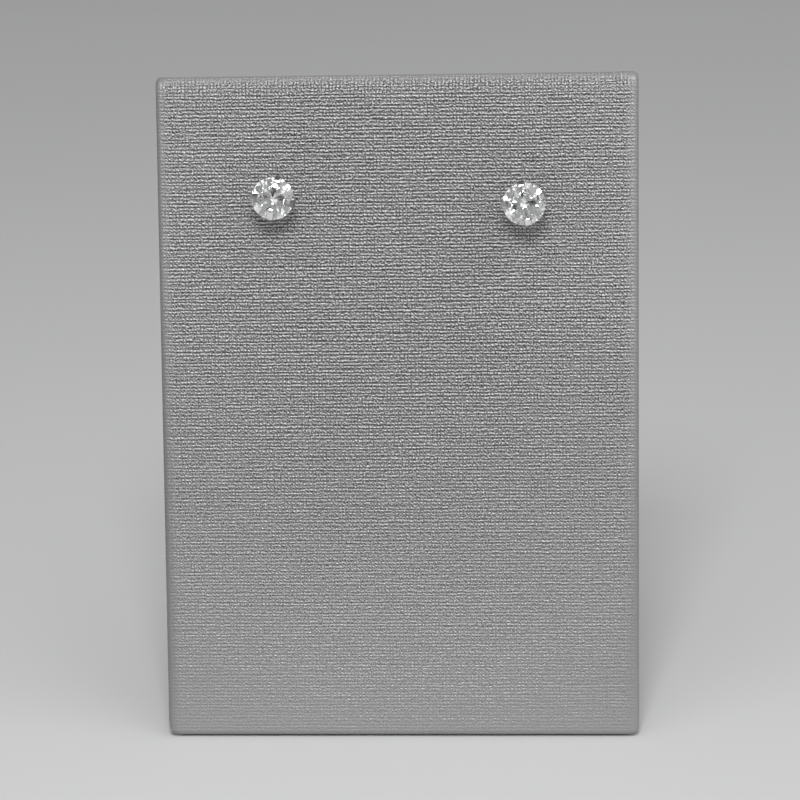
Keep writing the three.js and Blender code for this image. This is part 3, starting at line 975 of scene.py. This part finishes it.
def claw_group():
    """The flat section swept along the path, stood up and turned to the claw's angle."""
    tree = bpy.data.node_groups.new("claw_bar", "GeometryNodeTree")
    for label in ("Width", "Thickness", "Shoulder", "Reach", "Angle"):
        tree.interface.new_socket(label, in_out="INPUT", socket_type="NodeSocketFloat")
    tree.interface.new_socket("Geometry", in_out="OUTPUT", socket_type="NodeSocketGeometry")
    given = tree.nodes.new("NodeGroupInput").outputs
    section = add_node(tree, "GeometryNodeCurvePrimitiveQuadrilateral", {
        "Width": given["Thickness"], "Height": given["Width"]}, mode="RECTANGLE")
    eased = add_node(tree, "GeometryNodeFilletCurve", {
        "Curve": section.outputs[0], "Radius": EDGE_EASE, "Count": EDGE_STEPS}, mode="POLY")
    bar = add_node(tree, "GeometryNodeCurveToMesh", {
        "Curve": claw_path(tree, given), "Profile Curve": eased.outputs[0], "Fill Caps": True,
        "Scale": nose_scale(tree)})
    upright = add_node(tree, "GeometryNodeTransform", {
        "Geometry": bar.outputs[0], "Rotation": (math.pi / 2, 0, 0)})
    turn = add_node(tree, "ShaderNodeCombineXYZ", {2: given["Angle"]})
    set_round = add_node(tree, "GeometryNodeTransform", {
        "Geometry": upright.outputs[0], "Rotation": turn.outputs[0]})
    add_node(tree, "NodeGroupOutput", {"Geometry": set_round.outputs[0]})
    return tree


CLAW_BAR = claw_group()
print("nodes that bend a claw:", len(CLAW_BAR.nodes))

# %% [markdown]
# The main tree calls that group four times, once for each claw, and melts the bars, the disc and the
# ring into one solid. The stone's seat is then carved out of it, a hair wider than the stone all
# round, so that nothing touches. Only then is the setting moved to its place on the panel.

# %% Solder four claws to the base
CLAW_NAMES = ("Top", "Left", "Bottom", "Right")
SEAT_SIDE, SEAT_TOP = 0.3 * STONE_GAP, 0.9 * STONE_GAP
SETTING_CREASE = 32


def setting_tree():
    """Four claws and the turned parts melted into one solid."""
    sizes = {"Claw Width": ("Float", CLAW_WIDTH), "Claw Thickness": ("Float", CLAW_THICKNESS),
             "Shoulder Radius": ("Float", CLAW_SHOULDER)}
    for name in CLAW_NAMES:
        sizes[name + " Angle"] = ("Float", 0.0)
        sizes[name + " Reach"] = ("Float", 1.0 * MM)
    tree, given = new_tree("claw_setting", {**sizes, "Material": ("Material", None)})
    solder = add_node(tree, "GeometryNodeMeshBoolean", operation="UNION", solver="MANIFOLD")
    tree.links.new(given["Geometry"], solder.inputs["Mesh 2"])
    for name in CLAW_NAMES:
        claw = add_node(tree, "GeometryNodeGroup", node_tree=CLAW_BAR)
        for label, value in (("Width", given["Claw Width"]), ("Thickness", given["Claw Thickness"]),
                             ("Shoulder", given["Shoulder Radius"]), ("Angle", given[name + " Angle"]),
                             ("Reach", given[name + " Reach"])):
            tree.links.new(value, claw.inputs[label])
        tree.links.new(claw.outputs[0], solder.inputs["Mesh 2"])
    end_tree(tree, solder.outputs[0], given["Material"])
    return tree


def seat_cutter():
    """The stone with a hair of room all round, as a turned shape."""
    ease = STONE_GAP / math.cos(PAVILION_ANGLE)
    mesh = bmesh.new()
    turned_loop(mesh, [
        (0, CULET_LEVEL - ease), (STONE_RADIUS + STONE_GAP, GIRDLE_BOTTOM - SEAT_SIDE),
        (STONE_RADIUS + STONE_GAP, GIRDLE_TOP + SEAT_SIDE),
        (TABLE_RADIUS + STONE_GAP, TABLE_LEVEL + SEAT_TOP), (0, TABLE_LEVEL + SEAT_TOP)], closed=False)
    bmesh.ops.recalc_face_normals(mesh, faces=mesh.faces)
    return mesh


solder_tree = setting_tree()
for side, stud in STUDS.items():
    values = {"Claw Width": CLAW_WIDTH, "Claw Thickness": CLAW_THICKNESS,
              "Shoulder Radius": CLAW_SHOULDER, "Material": SILVER}
    for name, (angle, reach) in zip(CLAW_NAMES, stud["claws"]):
        values[name + " Angle"] = math.radians(angle)
        values[name + " Reach"] = reach * MM
    setting = from_tree(base, solder_tree, f"{side}_claw_setting", values, Matrix())
    carve(setting, object_from(seat_cutter(), "seat_cutter", SILVER))
    setting.data.transform(stud_place(stud))
    shade(setting, SETTING_CREASE)
    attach(setting, "root")
    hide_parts(f"{side}_setting")
    print(setting.name, "has", len(setting.data.polygons), "faces")
bpy.data.objects.remove(base)

# %% [markdown]
# ## The curled backs
#
# Behind the panel each post carries a press-on back: one strip of sheet with a hole in its middle
# and both ends curled round until they nip the post. The strip is walked from one curl's tip to the
# other, and at each step a flat section with eased edges is laid across it. Its width follows the
# oval blank that the back is stamped from.

# %% Curled back
BACK_GAP = 0.1 * MM
BACK_SHEET = 0.3 * MM
CURL_RADIUS = 0.95 * MM
CURL_TURN = math.radians(250)
CURL_POST_GAP = 0.06 * MM
BACK_LENGTH, BACK_WIDTH = 5.3 * MM, 3.8 * MM
BACK_HOLE, BACK_HOLE_SEGMENTS = 0.55 * MM, 40
CURL_STEPS, PLATE_STEPS, ROUND_STEPS = 40, 16, 6
WING_SHARE = 0.5
BACK_CREASE = 35


def curl_walk():
    """Middle of the sheet from one curl's tip to the other: x, z, and the outward direction."""
    centre = POST_RADIUS + CURL_POST_GAP + BACK_SHEET / 2 + CURL_RADIUS
    right = []
    for k in range(CURL_STEPS + 1):
        angle = math.pi / 2 - CURL_TURN * k / CURL_STEPS
        out = (math.cos(angle), math.sin(angle))
        right.append((centre + CURL_RADIUS * out[0], CURL_RADIUS * (out[1] - 1), out))
    plate = [(x, 0.0, (0.0, 1.0)) for x in np.linspace(-centre, centre, PLATE_STEPS + 1)[1:-1]]
    left = [(-x, z, (-out[0], out[1])) for x, z, out in right[::-1]]
    return left + plate + right


def sheet_section(half_width, half_sheet):
    """A flat section with half-round edges, as (across, out) pairs."""
    edge = []
    for k in range(ROUND_STEPS + 1):
        angle = -math.pi / 2 + math.pi * k / ROUND_STEPS
        across = half_width - half_sheet + half_sheet * math.cos(angle)
        edge.append((across, half_sheet * math.sin(angle)))
    return edge + [(-across, -out) for across, out in edge]


def curled_back():
    """Sections laid along the strip and joined, with both tips closed."""
    mesh = bmesh.new()
    rings = []
    for x, z, out in curl_walk():
        inside = max(0.0, 1 - (x / (BACK_LENGTH / 2)) ** 2)
        half_width = BACK_WIDTH / 2 * max(WING_SHARE, math.sqrt(inside))
        rings.append([mesh.verts.new((x + out[0] * h, across, z + out[1] * h))
                      for across, h in sheet_section(half_width, BACK_SHEET / 2)])
    for a, b in zip(rings, rings[1:]):
        for k in range(len(a)):
            n = (k + 1) % len(a)
            mesh.faces.new((a[k], a[n], b[n], b[k]))
    mesh.faces.new(rings[0])
    mesh.faces.new(rings[-1][::-1])
    bmesh.ops.recalc_face_normals(mesh, faces=mesh.faces)
    return mesh


def punch():
    """The rod that cuts the back's hole."""
    mesh = bmesh.new()
    bmesh.ops.create_cone(mesh, cap_ends=True, segments=BACK_HOLE_SEGMENTS, radius1=BACK_HOLE,
                          radius2=BACK_HOLE, depth=2 * BACK_SHEET)
    return mesh


for side, stud in STUDS.items():
    back = object_from(curled_back(), f"{side}_curled_back", SILVER)
    carve(back, object_from(punch(), "punch", SILVER))
    level = Matrix.Translation((0, 0, -BOARD - BACK_GAP - BACK_SHEET / 2))
    back.data.transform(stud_place(stud) @ Matrix.Rotation(-stud["turn"], 4, "Z") @ level)
    shade(back, BACK_CREASE)
    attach(back, "root")
    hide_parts(f"{side}_butterfly_back")
    print(back.name, "has", len(back.data.polygons), "faces")

# %% [markdown]
# ## Floor and light
#
# The stand is shown on a plain pale surface in wide, soft light from above and in front. Two broad
# lamps, one each side of the camera, keep the shadows under the stones short and soft, and give the
# facets something bright to catch, with a darker gap between. A small key lamp above the camera adds
# the glints.

# %% Floor
FLOOR_SIZE = 3.0
FLOOR_DARK, FLOOR_LIGHT = (0.575, 0.575, 0.577, 1), (0.615, 0.615, 0.617, 1)


def pale_floor():
    material, tree = new_material("pale_floor")
    place = add_node(tree, "ShaderNodeTexCoord").outputs["Object"]
    colour = add_node(tree, "ShaderNodeMix", {
        0: cloud(tree, place, 6.0, 2.0), 6: FLOOR_DARK, 7: FLOOR_LIGHT}, data_type="RGBA")
    finish_material(tree, {"Base Color": colour.outputs[2]}, Roughness=0.6)
    return material


floor_mesh = bmesh.new()
bmesh.ops.create_grid(floor_mesh, x_segments=2, y_segments=2, size=FLOOR_SIZE / 2)
floor = object_from(floor_mesh, "floor", pale_floor())
print("floor is", FLOOR_SIZE, "m wide")

# %% Lamps and surroundings
CENTRE = Vector((0, 0, 35 * MM))
ROOM_COLOUR, ROOM_STRENGTH = (0.97, 0.975, 0.99, 1), 0.32


def lamp(name, azimuth, height, distance, size, power):
    """A soft rectangular lamp, aimed at the stand from a direction in degrees."""
    data = bpy.data.lights.new(name, "AREA")
    data.shape = "RECTANGLE"
    data.size, data.size_y = size
    data.energy = power
    lit = bpy.data.objects.new(name, data)
    turn, tilt = math.radians(azimuth), math.radians(height)
    direction = Vector((
        math.sin(turn) * math.cos(tilt), -math.cos(turn) * math.cos(tilt), math.sin(tilt)))
    lit.location = CENTRE + direction * distance
    lit.rotation_euler = direction.to_track_quat("Z", "Y").to_euler()
    bpy.context.scene.collection.objects.link(lit)
    print(name, "gives", power, "W from", round(distance, 2), "m")


lamp("left_lamp", azimuth=-40, height=42, distance=2.4, size=(2.2, 2.6), power=13.0)
lamp("right_lamp", azimuth=58, height=42, distance=2.4, size=(2.2, 2.6), power=19.0)
lamp("key_lamp", azimuth=0, height=48, distance=0.36, size=(0.1, 0.1), power=0.8)

world = bpy.data.worlds.new("studio")
world.use_nodes = True
background = world.node_tree.nodes["Background"]
background.inputs["Color"].default_value = ROOM_COLOUR
background.inputs["Strength"].default_value = ROOM_STRENGTH
bpy.context.scene.world = world
bpy.context.scene.view_settings.view_transform = "Standard"
